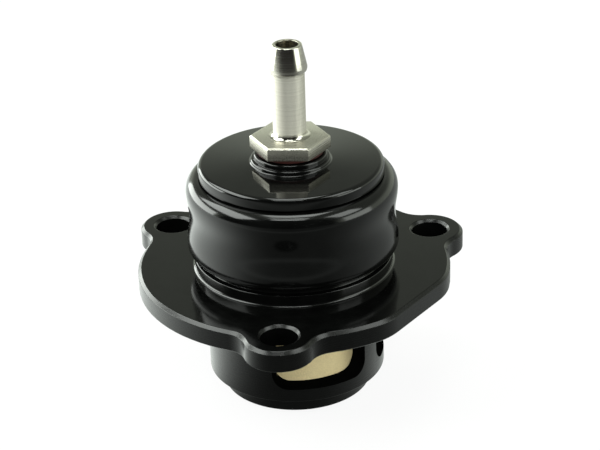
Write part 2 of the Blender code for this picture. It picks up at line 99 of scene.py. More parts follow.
def finish_piece(bm, name, look, body, nodes):
    bmesh.ops.remove_doubles(bm, verts=bm.verts, dist=WELD)
    bmesh.ops.recalc_face_normals(bm, faces=bm.faces)
    bmesh.ops.translate(bm, verts=bm.verts, vec=AXIS)
    mesh = bpy.data.meshes.new(name)
    bm.to_mesh(mesh)
    bm.free()
    mesh.shade_smooth()
    mesh.set_sharp_from_angle(angle=REAL_EDGE)
    mesh.materials.append(look)
    piece = bpy.data.objects.new(name, mesh)
    bpy.context.scene.collection.objects.link(piece)
    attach(piece, body)
    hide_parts(*nodes)
    print(f"{name}: {len(mesh.polygons)} faces")
    return piece


# %% [markdown]
# ## Sums in a shader
#
# A material's pattern is mostly arithmetic: a radius, a fine wave, a mask taken from one. Wiring
# Math nodes by hand hides the formula. So one small class wraps an output and gives it Python's
# operators, and a formula adds its own nodes as it is worked out. Every other node comes from one
# method, which sets its settings before its sockets.

# %% A socket that takes part in sums
class Wire:
    def __init__(self, look, socket):
        self.look = look
        self.socket = socket

    def maths(self, operation, *values):
        return self.look.add("ShaderNodeMath", {"operation": operation}, dict(enumerate(values)))

    def __add__(self, other):
        return self.maths("ADD", self, other)

    def __radd__(self, other):
        return self.maths("ADD", other, self)

    def __sub__(self, other):
        return self.maths("SUBTRACT", self, other)

    def __rsub__(self, other):
        return self.maths("SUBTRACT", other, self)

    def __mul__(self, other):
        return self.maths("MULTIPLY", self, other)

    def __rmul__(self, other):
        return self.maths("MULTIPLY", other, self)

    def __pow__(self, other):
        return self.maths("POWER", self, other)

    def between(self, low, high):
        """0 below low and 1 above high, with a soft step between them."""
        return self.look.add(
            "ShaderNodeMapRange", {"interpolation_type": "SMOOTHSTEP"}, {0: self, 1: low, 2: high}
        )


# %% A node tree
class Nodes:
    def __init__(self, tree):
        self.tree = tree

    def feed(self, socket, value):
        if isinstance(value, Wire):
            self.tree.links.new(value.socket, socket)
        else:
            socket.default_value = value

    def add(self, kind, settings=None, sockets=None, output=0):
        node = self.tree.nodes.new(kind)
        for key, value in (settings or {}).items():
            setattr(node, key, value)
        for key, value in (sockets or {}).items():
            self.feed(node.inputs[key], value)
        return Wire(self, node.outputs[output])

    def split(self, vector):
        """The three coordinates of a vector, each as a wire."""
        parts = self.add("ShaderNodeSeparateXYZ", None, {0: vector})
        return [Wire(self, socket) for socket in parts.socket.node.outputs]

    def blend(self, factor, first, second):
        """One colour where the factor is 0, another where it is 1."""
        first, second = (
            (*shade, 1) if isinstance(shade, tuple) else shade for shade in (first, second)
        )
        return self.add(
            "ShaderNodeMix", {"data_type": "RGBA"}, {0: factor, 6: first, 7: second}, output=2
        )


# %% A material
class Look(Nodes):
    def __init__(self, name, **constants):
        self.material = bpy.data.materials.new(name)
        self.material.use_nodes = True
        super().__init__(self.material.node_tree)
        self.shader = self.tree.nodes["Principled BSDF"]
        for label, value in constants.items():
            self.shader.inputs[label.replace("_", " ")].default_value = value

    def place(self):
        """The point in metres, counted from the valve's axis."""
        point = self.add("ShaderNodeTexCoord", output=3)
        return self.add("ShaderNodeMapping", None, {0: point, 1: -AXIS})

    def radius_and_height(self):
        """Where a point is on the drawing of a turned part, in millimetres."""
        x, y, z = self.split(self.place())
        return (x * x + y * y) ** 0.5 * (1 / MM), z * (1 / MM)

    def noise(self, scale, detail=3.0, roughness=0.5):
        """A cloudy pattern with about this many features a millimetre."""
        return self.add(
            "ShaderNodeTexNoise", None,
            {"Vector": self.place(), "Scale": scale / MM, "Detail": detail, "Roughness": roughness},
        )

    def streaks(self, along, per_mm):
        """Fine uneven lines, this many a millimetre, across the way that a length runs."""
        return self.add(
            "ShaderNodeTexNoise", {"noise_dimensions": "1D"},
            {"W": along, "Scale": per_mm, "Detail": 2.0},
        )

    def turned_lines(self, per_mm):
        """The rings that a lathe tool leaves, on walls and on faces alike."""
        radius, height = self.radius_and_height()
        return self.streaks(radius + height, per_mm)

    def colour(self, factor, first, second):
        self.feed(self.shader.inputs["Base Color"], self.blend(factor, first, second))

    def roughness(self, value):
        self.feed(self.shader.inputs["Roughness"], value)

    def bump(self, height, depth_mm):
        bumped = self.add(
            "ShaderNodeBump", None, {"Height": height, "Distance": depth_mm * MM, "Strength": 1.0}
        )
        self.feed(self.shader.inputs["Normal"], bumped)

    def stretch_gloss(self):
        """Grooves run round the axis, so a highlight stretches up and down across them."""
        around = self.add("ShaderNodeTangent", {"direction_type": "RADIAL", "axis": "Z"})
        self.feed(self.shader.inputs["Tangent"], around)


# %% [markdown]
# ## Black anodising
#
# The body and the cap are aluminium, turned on a lathe and anodised black. Anodising is a clear
# hard layer filled with dye, so it shines like glossy paint and not like bare metal: a dark base
# under a dielectric gloss. The cap and the top of the flange are mirrors, and the bell is
# polished nearly as well. The sides of the flange and all of the barrel are satin, and nobody
# polished the insides of the holes and windows, which stay dull. All keep faint tool marks,
# uneven gloss and pale specks of dust, which stop them from looking like plastic.

# %% Black finishes
SATIN = 0.24


def anodised(name, gloss, specular, line_depth, mirror_above=None):
    """Black with this roughness, or satin with this roughness only above a height."""
    look = Look(name, Specular_IOR_Level=specular)
    if mirror_above:
        _, height = look.radius_and_height()
        polished = height.between(mirror_above - 0.1, mirror_above - 0.02)
        gloss = SATIN - polished * (SATIN - gloss)
    cloud = look.noise(0.35)
    lines = look.turned_lines(9)
    grain = look.noise(14, detail=2.0)
    dust = look.noise(3.2, detail=4.0, roughness=0.7).between(0.70, 0.80)
    look.colour(cloud * 0.4 + dust * 0.6, (0.0004, 0.0004, 0.0004), (0.0060, 0.0064, 0.0060))
    look.roughness(gloss + cloud * 0.04 + lines * 0.03 + dust * 0.10)
    look.bump(lines * 0.7 + grain * 0.3, line_depth)
    return look.material


mirror_black = anodised("mirror black anodising", 0.04, 0.45, 0.0008)
turned_black = anodised("turned black anodising", 0.10, 0.50, 0.0014)
milled_black = anodised("milled black anodising", 0.06, 0.45, 0.0010, mirror_above=FLANGE_TOP)
dull_black = anodised("dull black inside the holes", 0.60, 0.0, 0.0014)

# %% [markdown]
# ## Nickel, gold and the soft pieces
#
# The hose fitting is nickel plated: a warm grey metal. The grooves that the lathe left round the
# stem spread its light up and down, so it looks softer than the barb. The hexagon has level
# streaks over a mottled grain. The piston is aluminium with a pale gold anodising, which lets a
# little of the metal shine through its fine specks. The washer is pressed fibre, and the seals
# are rubber that looks almost flat black.

# %% Bare and coloured metals
nickel = Look("turned nickel", Metallic=1.0, Anisotropic=0.85, Anisotropic_Rotation=0.25)
radius, height = nickel.radius_and_height()
above_flare = height.between(HEX_TOP + 0.6, HEX_TOP + 1.4)
stem_wall = above_flare * (1 - height.between(BARB_FOOT - 0.3, BARB_FOOT - 0.1))
# Painted shade: inside the air bore the colour is pushed down to the darkest nickel tone.
bore_painted_shade = 1 - radius.between(2.05, 2.2)
nickel_lines = nickel.turned_lines(4)
nickel_grain = nickel.noise(5.5, detail=4.0, roughness=0.65)
nickel_pattern_and_bore_shade = nickel_grain * 0.4 + nickel_lines * 0.6 - bore_painted_shade * 2
nickel.colour(nickel_pattern_and_bore_shade, (0.40, 0.38, 0.32), (0.74, 0.72, 0.65))
nickel.roughness(0.14 + nickel_grain * 0.06 + stem_wall * (0.46 + nickel_lines * 0.1))
nickel.feed(nickel.shader.inputs["Metallic"], 1 - stem_wall * 0.38)
nickel.bump(nickel_lines * 0.8 + nickel_grain * 0.2, 0.010)
nickel.stretch_gloss()

milled_nickel = Look("milled nickel", Metallic=0.9, Anisotropic=0.4, Anisotropic_Rotation=0.25)
milled_grain = milled_nickel.noise(4.5, detail=5.0, roughness=0.7)
_, height = milled_nickel.radius_and_height()
milled_lines = milled_nickel.streaks(height, 6.0)
milled_pattern = (milled_grain * 0.6 + milled_lines * 0.4).between(0.30, 0.70)
milled_nickel.colour(milled_pattern, (0.39, 0.375, 0.31), (0.68, 0.66, 0.58))
milled_nickel.roughness(0.24 + milled_pattern * 0.12)
milled_nickel.bump(milled_grain * 0.5 + milled_lines * 0.5, 0.010)
milled_nickel.stretch_gloss()

gold = Look("pale gold anodising", Metallic=0.3)
gold_specks = gold.noise(6.0, detail=3.0, roughness=0.7)
gold_lines = gold.turned_lines(5)
gold.colour(gold_specks.between(0.35, 0.72), (0.74, 0.60, 0.33), (0.95, 0.79, 0.47))
gold.roughness(0.45 + gold_specks * 0.14)
gold.bump(gold_specks * 0.6 + gold_lines * 0.4, 0.006)

wire_steel = Look("drawn spring wire", Metallic=1.0)
wire_grain = wire_steel.noise(2.5)
wire_steel.colour(wire_grain, (0.34, 0.34, 0.34), (0.55, 0.54, 0.52))
wire_steel.roughness(0.26 + wire_grain * 0.16)
wire_steel.bump(wire_grain, 0.004)

# %% Fibre and rubber
# Painted shade: the fibre's red brown is darkened to about a third, standing in for the shadow of
# the hexagon above the washer; the grain is its own.
fibre = Look("red brown sealing fibre")
fibre_grain = fibre.noise(4.0, detail=5.0, roughness=0.7)
fibre.colour(fibre_grain, (0.015, 0.003, 0.003), (0.045, 0.011, 0.008))
fibre.roughness(0.62 + fibre_grain * 0.2)
fibre.bump(fibre_grain, 0.02)

rubber = Look("seal rubber")
rubber_grain = rubber.noise(6.0)
rubber.colour(rubber_grain, (0.010, 0.010, 0.010), (0.028, 0.028, 0.028))
rubber.roughness(0.5 + rubber_grain * 0.2)
rubber.bump(rubber_grain, 0.006)

# %% [markdown]
# ## A profile for the lathe
#
# Most of this valve came off a lathe, so most pieces are an outline spun about the axis. The
# outline is given by its corners, each with a rounding. A vertex bevel rounds them while the
# outline is still a wire, which is cheaper and cleaner than bevelling rings of faces after the
# spin. Where the outline swells, as on the bell, a Bezier curve between two corners gives the
# swell.

# %% Draw and spin a profile
def draw_profile(corners, segments=5):
    """A closed wire in the XZ plane from (radius, height, rounding) corners in millimetres."""
    bm = bmesh.new()
    points = [bm.verts.new((radius * MM, 0, height * MM)) for radius, height, _ in corners]
    for first, second in zip(points, points[1:] + points[:1]):
        bm.edges.new((first, second))
    for point, (_, _, rounding) in zip(points, corners):
        if rounding:
            bmesh.ops.bevel(
                bm, geom=[point], affect="VERTICES", offset=rounding * MM, segments=segments,
                profile=0.5, material=-1,
            )
    return bm


def spin_profile(corners, steps=180, segments=5):
    bm = draw_profile(corners, segments)
    bmesh.ops.spin(
        bm, geom=bm.verts[:] + bm.edges[:], cent=(0, 0, 0), axis=(0, 0, 1),
        angle=2 * math.pi, steps=steps, use_merge=True,
    )
    return bm


# %% [markdown]
# ## The bell
#
# The bell holds the cylinder. It swells out below the rim, draws in to a waist, swells again and
# rolls under to a collar on the flange. Those soft changes are what the reflections show, so they
# are drawn as cubic curves between the places where the wall stands upright. Straight steps would
# show as bands in the gloss.

# %% Curved spans between corners
def swell(start, end, start_pull, end_pull, count=12):
    """Corners along a cubic curve from one (radius, height) to another, each end with its pull."""
    knots = [Vector(point) for point in (start, start_pull, end_pull, end)]
    spots = interpolate_bezier(*knots, count + 1)
    return [(spot.x, spot.y, 0) for spot in spots[:-1]]


def upright(start, end, share=0.364):
    """A span that stands upright at both ends, like the change from the shoulder to the waist."""
    pull = (end[1] - start[1]) * share
    return swell(start, end, (start[0], start[1] + pull), (end[0], end[1] - pull))


def quarter(start, end, level_first, share=0.552):
    """A quarter of an ellipse, which leaves level and arrives upright, or the other way round."""
    across, down = end[0] - start[0], end[1] - start[1]
    if level_first:
        pulls = (start[0] + across * share, start[1]), (end[0], end[1] - down * share)
    else:
        pulls = (start[0], start[1] + down * share), (end[0] - across * share, end[1])
    return swell(start, end, *pulls)


# %% The bell
MOUTH, COLLAR, COLLAR_TOP, COLLAR_FOOT, BELL_FOOT = 15.3, 18.3, 26.4, 18.9, 23.0
rim_edge, shoulder, waist = (17.2, RIM), (19.37, 39.4), (18.87, 34.7)
bulge, neck = (19.45, 29.1), (17.3, 27.3)
flare, flare_foot = (COLLAR, FLANGE_TOP + 0.5), (18.85, FLANGE_TOP - 0.01)
bell_corners = [(MOUTH, RIM, 0.2), (17.0, RIM, 0)]
bell_corners += quarter(rim_edge, shoulder, level_first=True)
bell_corners += upright(shoulder, waist)
bell_corners += upright(waist, bulge)
bell_corners += quarter(bulge, neck, level_first=False)
bell_corners += [neck + (0,), (neck[0], COLLAR_TOP, 0.15), (COLLAR, COLLAR_TOP, 0.18)]
bell_corners += quarter(flare, flare_foot, level_first=False)
bell_corners += [
    (COLLAR_FOOT, FLANGE_TOP - 0.02, 0), (COLLAR_FOOT, BELL_FOOT, 0), (BORE, BELL_FOOT, 0),
    (BORE, 35.0, 0), (MOUTH, 36.1, 0),
]
finish_piece(spin_profile(bell_corners, 220), "bell", turned_black, "housing", ["body"])

# %% [markdown]
# ## The flange
#
# The flange is milled from the same bar: a disc with three ears, a hollow fillet where each ear
# leaves the disc, and one flat side. A drawing gives it as arcs that touch, so the outline is
# drawn with a compass. Spinning a single vertex about a centre leaves an arc behind it. The face
# inside is filled and pulled up, and its rims are bevelled. The holes are cut with turned cutters
# that carry their own chamfers, as a countersink does.

# %% A compass for outlines
DISC, EAR, FILLET, BOLT_CIRCLE = 28.9, 6.3, 5.0, 28.4
HOLE, HOLE_CHAMFER, FLAT_DEPTH, FLAT_CORNER = 3.3, 0.5, 1.5, 12.0
EARS, FLAT = (-90, 30, 150), -30


def spot(radius, degrees, height=0):
    angle = math.radians(degrees)
    return Vector((radius * math.cos(angle), radius * math.sin(angle), height)) * MM


def compass(bm, tip, centre, degrees):
    """Draws an arc from the tip about a centre and returns the new tip."""
    steps = max(3, round(abs(degrees) / 4))
    drawn = bmesh.ops.spin(
        bm, geom=[tip], cent=centre, axis=(0, 0, 1), angle=math.radians(degrees), steps=steps
    )
    return next(item for item in drawn["geom_last"] if isinstance(item, bmesh.types.BMVert))


def corner_angles():
    """Angles of the triangle between the valve's axis, an ear and the fillet beside it."""
    to_fillet, ear_to_fillet = DISC + FILLET, EAR + FILLET
    at_axis = (to_fillet**2 + BOLT_CIRCLE**2 - ear_to_fillet**2) / (2 * to_fillet * BOLT_CIRCLE)
    at_ear = (ear_to_fillet**2 + BOLT_CIRCLE**2 - to_fillet**2) / (2 * ear_to_fillet * BOLT_CIRCLE)
    first, second = math.degrees(math.acos(at_axis)), math.degrees(math.acos(at_ear))
    return first, second, 180 - first - second


at_axis, at_ear, at_fillet = corner_angles()
flat_spread = math.degrees(math.acos((DISC - FLAT_DEPTH - FLAT_CORNER) / (DISC - FLAT_CORNER)))
print(f"an ear's fillets start {at_axis:.1f} degrees to each side of it")


# %% Walk round the flange
def draw_ear(bm, tip, direction):
    tip = compass(bm, tip, spot(DISC + FILLET, direction - at_axis), -at_fillet)
    tip = compass(bm, tip, spot(BOLT_CIRCLE, direction), 360 - 2 * at_ear)
    return compass(bm, tip, spot(DISC + FILLET, direction + at_axis), -at_fillet)


def draw_flat(bm, tip, direction):
    tip = compass(bm, tip, spot(DISC - FLAT_CORNER, direction - flat_spread), flat_spread)
    centre = spot(DISC - FLAT_CORNER, direction + flat_spread)
    far = bm.verts.new(centre + spot(FLAT_CORNER, direction))
    bm.edges.new((tip, far))
    return compass(bm, far, centre, flat_spread)


front, right, left = ((direction, draw_ear, at_axis) for direction in EARS)
stops = [front, (FLAT, draw_flat, flat_spread), right, left]
round_again = (EARS[0] + 360, draw_ear, at_axis)
plate = bmesh.new()
tip = plate.verts.new(spot(DISC, EARS[0] - at_axis))
for (direction, draw, spread), (following, _, next_spread) in zip(stops, stops[1:] + [round_again]):
    tip = draw(plate, tip, direction)
    tip = compass(plate, tip, Vector(), following - next_spread - direction - spread)
bmesh.ops.remove_doubles(plate, verts=plate.verts, dist=0.001 * MM)
print(f"the outline has {len(plate.edges)} edges")


# %% Thicken the plate and bevel its rims
def chamfer(bm, edges, width, segments=1):
    bmesh.ops.bevel(
        bm, geom=edges, affect="EDGES", offset=width * MM, offset_type="OFFSET",
        segments=segments, profile=0.5, material=-1,
    )


bmesh.ops.contextual_create(plate, geom=plate.edges[:])
raised = bmesh.ops.extrude_face_region(plate, geom=plate.faces[:])
raised_verts = [item for item in raised["geom"] if isinstance(item, bmesh.types.BMVert)]
bmesh.ops.translate(plate, verts=raised_verts, vec=(0, 0, (FLANGE_TOP - FLANGE_FOOT) * MM))
bmesh.ops.translate(plate, verts=plate.verts, vec=(0, 0, FLANGE_FOOT * MM))
bmesh.ops.recalc_face_normals(plate, faces=plate.faces)
for height, width in ((FLANGE_TOP, 0.6), (FLANGE_FOOT, 0.3)):
    rim = [
        edge for edge in plate.edges
        if all(abs(vert.co.z - height * MM) < 0.01 * MM for vert in edge.verts)
    ]
    chamfer(plate, rim, width)


# %% Cut one mesh from another
def cut(bm, cutter):
    """Cuts the second mesh from the first and returns what is left as a new mesh."""
    holders = []
    for shape in (bm, cutter):
        bmesh.ops.remove_doubles(shape, verts=shape.verts, dist=WELD)
        bmesh.ops.recalc_face_normals(shape, faces=shape.faces)
        mesh = bpy.data.meshes.new("shape to cut")
        shape.to_mesh(mesh)
        shape.free()
        holder = bpy.data.objects.new("shape to cut", mesh)
        bpy.context.scene.collection.objects.link(holder)
        holders.append(holder)
    modifier = holders[0].modifiers.new("cut", "BOOLEAN")
    modifier.operation = "DIFFERENCE"
    modifier.solver = "EXACT"
    modifier.object = holders[1]
    left = bmesh.new()
    left.from_object(holders[0], bpy.context.evaluated_depsgraph_get())
    for holder in holders:
        bpy.data.objects.remove(holder)
    return left


# %% Drill the flange
OVERRUN = 0.2
GROOVE_INNER, GROOVE_OUTER, GROOVE_TOP = 18.9, 21.1, 21.9
drill_corners = [
    (0, FLANGE_TOP + OVERRUN, 0), (HOLE + HOLE_CHAMFER + OVERRUN, FLANGE_TOP + OVERRUN, 0),
    (HOLE, FLANGE_TOP - HOLE_CHAMFER, 0), (HOLE, FLANGE_FOOT - OVERRUN, 0),
    (0, FLANGE_FOOT - OVERRUN, 0),
]
groove_corners = [
    (GROOVE_INNER, GROOVE_TOP, 0), (GROOVE_OUTER, GROOVE_TOP, 0), (GROOVE_OUTER, 19, 0),
    (GROOVE_INNER, 19, 0),
]
for direction in EARS:
    drill = spin_profile(drill_corners, 72)
    bmesh.ops.translate(drill, verts=drill.verts, vec=spot(BOLT_CIRCLE, direction))
    plate = cut(plate, drill)
plate = cut(plate, spin_profile([(0, 30, 0), (BORE, 30, 0), (BORE, 15, 0), (0, 15, 0)], 120))
plate = cut(plate, spin_profile(groove_corners, 120))
flange = finish_piece(plate, "flange", milled_black, "housing", ["body"])


# %% Dull the holes and soften the edges
def make_dull(piece, is_inside):
    """The dull finish on each face whose middle, as a place in millimetres, passes the test."""
    piece.data.materials.append(dull_black)
    dull_faces = [face for face in piece.data.polygons if is_inside((face.center - AXIS) / MM)]
    for face in dull_faces:
        face.material_index = 1
    print(f"{piece.name}: {len(dull_faces)} faces are dull")


def in_bolt_hole(place):
    from_hole = min((place.xy - (spot(BOLT_CIRCLE, ear) / MM).xy).length for ear in EARS)
    on_wall = FLANGE_FOOT + 0.05 < place.z < FLANGE_TOP - HOLE_CHAMFER + 0.05
    return from_hole < HOLE + 0.02 and on_wall


make_dull(flange, in_bolt_hole)
edge = flange.modifiers.new("soft edges", "BEVEL")
edge.width = 0.09 * MM
edge.segments = 2
edge.limit_method = "ANGLE"
edge.angle_limit = math.radians(30)
edge.harden_normals = True

# %% [markdown]
# ## The barrel and its windows
#
# Below the flange the barrel carries the seat and three windows, through which the air leaves
# when the piston lifts. Each window is milled with a 6 mm cutter that points at the axis while
# the barrel turns under it, so the end walls stay parallel to the cutter and the corners are
# round. The space that the cutter clears is the hull of its four corner positions, so that is how
# the cutting shape is made.

# %% The barrel
BARREL, BARREL_TOP, SPIGOT, SPIGOT_TOP = 16.4, 22.5, 13.8, 3.4
INLET, INLET_CHAMFER = 10.5, 0.6
barrel_corners = [
    (BARREL, BARREL_TOP, 0), (BARREL, SPIGOT_TOP, 0.3), (SPIGOT, SPIGOT_TOP, 0), (SPIGOT, 0, 0.4),
    (INLET + INLET_CHAMFER, 0, 0), (INLET, INLET_CHAMFER, 0), (INLET, SEAT - INLET_CHAMFER, 0),
    (INLET + INLET_CHAMFER, SEAT, 0), (BORE, SEAT, 0), (BORE, BARREL_TOP, 0),
]
barrel = spin_profile(barrel_corners, 200)


# %% Mill the windows
WINDOW_STARTS, WINDOW_SWEEP = (-90, -10, 70), 45
WINDOW_FOOT, WINDOW_TOP, CUTTER = 6.0, 17.0, 3.0


def window_space(start):
    """The hull of a round cutter at its four corner positions, pointing at the axis."""
    bm = bmesh.new()
    lay = Matrix.Rotation(math.radians(90), 4, "Y")
    for direction in (start, start + WINDOW_SWEEP):
        turn = Matrix.Rotation(math.radians(direction), 4, "Z")
        for height in (WINDOW_FOOT + CUTTER, WINDOW_TOP - CUTTER):
            out = Matrix.Translation((17.3 * MM, 0, height * MM))
            bmesh.ops.create_cone(
                bm, cap_ends=True, segments=48, radius1=CUTTER * MM, radius2=CUTTER * MM,
                depth=12 * MM, matrix=turn @ out @ lay,
            )
    bmesh.ops.delete(bm, geom=bm.edges[:] + bm.faces[:], context="EDGES_FACES")
    hull = bmesh.ops.convex_hull(bm, input=bm.verts[:])
    inside = [item for item in hull["geom_interior"] if isinstance(item, bmesh.types.BMVert)]
    bmesh.ops.delete(bm, geom=inside, context="VERTS")
    return bm


def in_window(place):
    through_wall = BORE + 0.05 < place.xy.length < BARREL - 0.05
    return through_wall and WINDOW_FOOT - 0.1 < place.z < WINDOW_TOP + 0.1


for start in WINDOW_STARTS:
    barrel = cut(barrel, window_space(start))
barrel_piece = finish_piece(barrel, "barrel", milled_black, "housing", ["body"])
make_dull(barrel_piece, in_window)

# %% [markdown]
# ## The cap
#
# The cap screws into the bell and is polished to a mirror. The fitting shows upside down in its
# flat top, so it is spun with a true flat face and small rounded edges: a bright line shows on
# each rounding.

# %% The cap
CAP, STEP, BOSS, CAP_BORE = 16.93, 7.3, 6.7, 5.0
CAP_FOOT, STEP_TOP, PLUG_FOOT = RIM + 0.3, CAP_TOP + 0.8, 36.4
RECESS_OUTER, RECESS_INNER, RECESS_TOP = 12.2, 6.5, 40.6
cap_corners = [
    (CAP_BORE, BOSS_TOP, 0), (BOSS, BOSS_TOP, 0.35), (BOSS, STEP_TOP, 0.05),
    (STEP, STEP_TOP, 0.35), (STEP, CAP_TOP, 0.35), (CAP, CAP_TOP, 0.85), (CAP, CAP_FOOT, 0),
    (PLUG, CAP_FOOT, 0), (PLUG, PLUG_FOOT + 0.6, 0), (PLUG - 0.6, PLUG_FOOT, 0),
    (RECESS_OUTER, PLUG_FOOT, 0), (RECESS_OUTER, RECESS_TOP, 0), (RECESS_INNER, RECESS_TOP, 0),
    (RECESS_INNER, PLUG_FOOT, 0), (CAP_BORE, PLUG_FOOT, 0),
]
finish_piece(
    spin_profile(cap_corners, 220, 7), "cap_piece", mirror_black, "housing", ["cap"]
)

# %% [markdown]
# ## The hose fitting
#
# One piece of hexagon bar makes the whole fitting: the hexagon for the spanner, the stem with a
# flare at its foot, and the barb, whose sharp step keeps the hose on. Stem and barb are one spun
# outline. The hexagon is a six-sided cone with bevelled edges, because an edge without a bevel
# catches no light.

# %% Stem and barb
STEM, STEM_FLARE, STUB, STUB_FOOT = 3.0, 3.9, 4.8, 38.9
stem_corners = [
    (AIR_BORE, BARB_TOP, 0.12), (2.65, BARB_TOP, 0.15), (3.57, BARB_FOOT + 0.75, 0.25),
    (3.42, BARB_FOOT + 0.1, 0.15), (2.8, BARB_FOOT, 0), (2.8, BARB_FOOT - 0.3, 0),
    (STEM, BARB_FOOT - 0.5, 0), (STEM, HEX_TOP + 1.0, 0),
]
stem_corners += quarter((STEM, HEX_TOP + 0.9), (STEM_FLARE, HEX_TOP), level_first=False)
stem_corners += [
    (STEM_FLARE, HEX_TOP - 1.0, 0), (STUB, HEX_TOP - 1.0, 0), (STUB, STUB_FOOT + 0.6, 0),
    (STUB - 0.5, STUB_FOOT, 0), (AIR_BORE, STUB_FOOT, 0),
]
finish_piece(
    spin_profile(stem_corners, 128), "stem_and_barb", nickel.material, "housing",
    ["hose_fitting"],
)

# %% Hexagon
ACROSS_FLATS, HEX_TURN = 12.7, 2
corner = ACROSS_FLATS / math.sqrt(3) * MM
middle = Matrix.Translation((0, 0, (HEX_TOP + HEX_FOOT) / 2 * MM))
hexagon = bmesh.new()
bmesh.ops.create_cone(
    hexagon, cap_ends=True, segments=6, radius1=corner, radius2=corner,
    depth=(HEX_TOP - HEX_FOOT) * MM,
    matrix=middle @ Matrix.Rotation(math.radians(HEX_TURN - 90), 4, "Z"),
)
upper = [
    edge for edge in hexagon.edges if all(vert.co.z > (HEX_TOP - 0.1) * MM for vert in edge.verts)
]
chamfer(hexagon, upper, 0.3)
chamfer(hexagon, hexagon.edges[:], 0.06, segments=2)
bore_corners = [(AIR_BORE, 60, 0), (AIR_BORE, 40, 0), (0, 40, 0), (0, 60, 0)]
hexagon = cut(hexagon, spin_profile(bore_corners, 64))
finish_piece(
    hexagon, "hexagon", milled_nickel.material, "housing", ["hose_fitting"]
)

# %% [markdown]
# ## Washer, piston and seals
#
# The washer only shows as a thin line under the hexagon. The piston shows in the windows and,
# once it lifts, its nose does too, so its nose and ring grooves are there. Each seal is a round
# wire spun into a ring.

# %% The washer
WASHER, WASHER_BORE, WASHER_FOOT, WASHER_TOP = 6.1, 5.0, 46.5, 47.0
washer_corners = [
    (WASHER_BORE, WASHER_TOP, 0.08), (WASHER, WASHER_TOP, 0.12), (WASHER, WASHER_FOOT, 0.12),
    (WASHER_BORE, WASHER_FOOT, 0.08),
]
finish_piece(
    spin_profile(washer_corners, 96, 3), "washer", fibre.material, "housing",
    ["fitting_washer"],
)

# %% The piston
PISTON, PISTON_BORE, GROOVE_FLOOR, GROOVE_HALF, CUP_FLOOR = 12.85, 10.45, 11.3, 0.85, 7.8
piston_corners = [
    (PISTON_BORE + 0.3, PISTON_TOP, 0), (PISTON - 0.3, PISTON_TOP, 0.1),
    (PISTON, PISTON_TOP - 0.3, 0.1),
]
for groove in PISTON_GROOVES:
    piston_corners += [
        (PISTON, groove + GROOVE_HALF, 0.08), (GROOVE_FLOOR, groove + GROOVE_HALF, 0),
        (GROOVE_FLOOR, groove - GROOVE_HALF, 0), (PISTON, groove - GROOVE_HALF, 0.08),
    ]
piston_corners += [
    (PISTON, PISTON_FOOT + 0.6, 0.15), (PISTON - 0.6, PISTON_FOOT, 0.15), (0, PISTON_FOOT, 0),
    (0, CUP_FLOOR, 0), (PISTON_BORE - 0.6, CUP_FLOOR, 0.1), (PISTON_BORE, CUP_FLOOR + 0.6, 0.1),
    (PISTON_BORE, PISTON_TOP - 0.3, 0),
]
finish_piece(
    spin_profile(piston_corners, 200, 4), "piston_piece", gold.material, "piston", ["piston"],
)


# %% Seals
def section(radius, height):
    """Stands a flat shape up at a radius and height, ready to be spun."""
    stand = Matrix.Rotation(math.radians(90), 4, "X")
    return Matrix.Translation((radius * MM, 0, height * MM)) @ stand


def seal(name, radius, height, cord, body, node):
    bm = bmesh.new()
    bmesh.ops.create_circle(bm, segments=20, radius=cord * MM, matrix=section(radius, height))
    bmesh.ops.spin(
        bm, geom=bm.verts[:] + bm.edges[:], cent=(0, 0, 0), axis=(0, 0, 1),
        angle=2 * math.pi, steps=120, use_merge=True,
    )
    finish_piece(bm, name, rubber.material, body, [node])


seal("upper_piston_seal", 12.15, PISTON_GROOVES[0], 0.75, "piston", "piston_ring_upper")
seal("lower_piston_seal", 12.15, PISTON_GROOVES[1], 0.75, "piston", "piston_ring_lower")
seal("cap_seal", 14.35, 41.0, 0.75, "housing", "cap_ring")
seal("flange_seal", 20.0, 20.8, 1.0, "housing", "flange_ring")

# %% [markdown]
# ## The spring
#
# The spring presses the piston onto its seat. Its end turns lie almost flat, and the turns
# between them are open. A disc is spun and raised at each step, first slowly, then at the open
# pitch, then slowly again, which draws the wire in one piece. The spring must get shorter as the
# piston lifts; here it is one fixed coil that rides with the housing on its own copy of the mesh.

# %% The spring
SPRING_LOW, SPRING_HIGH, COIL_RADIUS, WIRE_RADIUS = 8.8, 39.6, 8.6, 0.7
CLOSED_TURNS, CLOSED_GAP, OPEN_TURNS, STEPS_PER_TURN = 0.9, 0.3, 5.5, 36
spring = bmesh.new()
bmesh.ops.create_circle(
    spring, cap_ends=True, segments=14, radius=WIRE_RADIUS * MM,
    matrix=section(COIL_RADIUS, SPRING_LOW),
)
closed_rise = CLOSED_TURNS * (2 * WIRE_RADIUS + CLOSED_GAP)
open_rise = SPRING_HIGH - SPRING_LOW - 2 * closed_rise
closed_end, open_middle = (CLOSED_TURNS, closed_rise), (OPEN_TURNS, open_rise)
last = spring.faces[:]
for turns, rise in (closed_end, open_middle, closed_end):
    steps = round(turns * STEPS_PER_TURN)
    grown = bmesh.ops.spin(
        spring, geom=last, cent=(0, 0, 0), axis=(0, 0, 1), dvec=(0, 0, rise / steps * MM),
        angle=math.radians(360 * turns), steps=steps,
    )
    last = grown["geom_last"]
spring_piece = finish_piece(
    spring, "spring_piece", wire_steel.material, "housing", ["spring"]
)
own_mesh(spring_piece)

# %% [markdown]
# ## Floor, light and camera
#
# Black gloss shows only what it mirrors, so the studio is what makes this picture. The floor is
# white to the camera, but what the gloss sees of it is bright at the left, dim at the right, and
# dark in front but for a faint strip. Behind the valve is a pale back. Each side has a high soft
# box and a low one, a box hangs overhead, and two narrow strips shine from high in front. The
# fill light in front is hidden from the gloss, and the room there is dark, which keeps the front
# of the bell black. The camera itself sees pure white behind the valve, through Is Camera Ray, so
# the lamps can stay at a plain level.

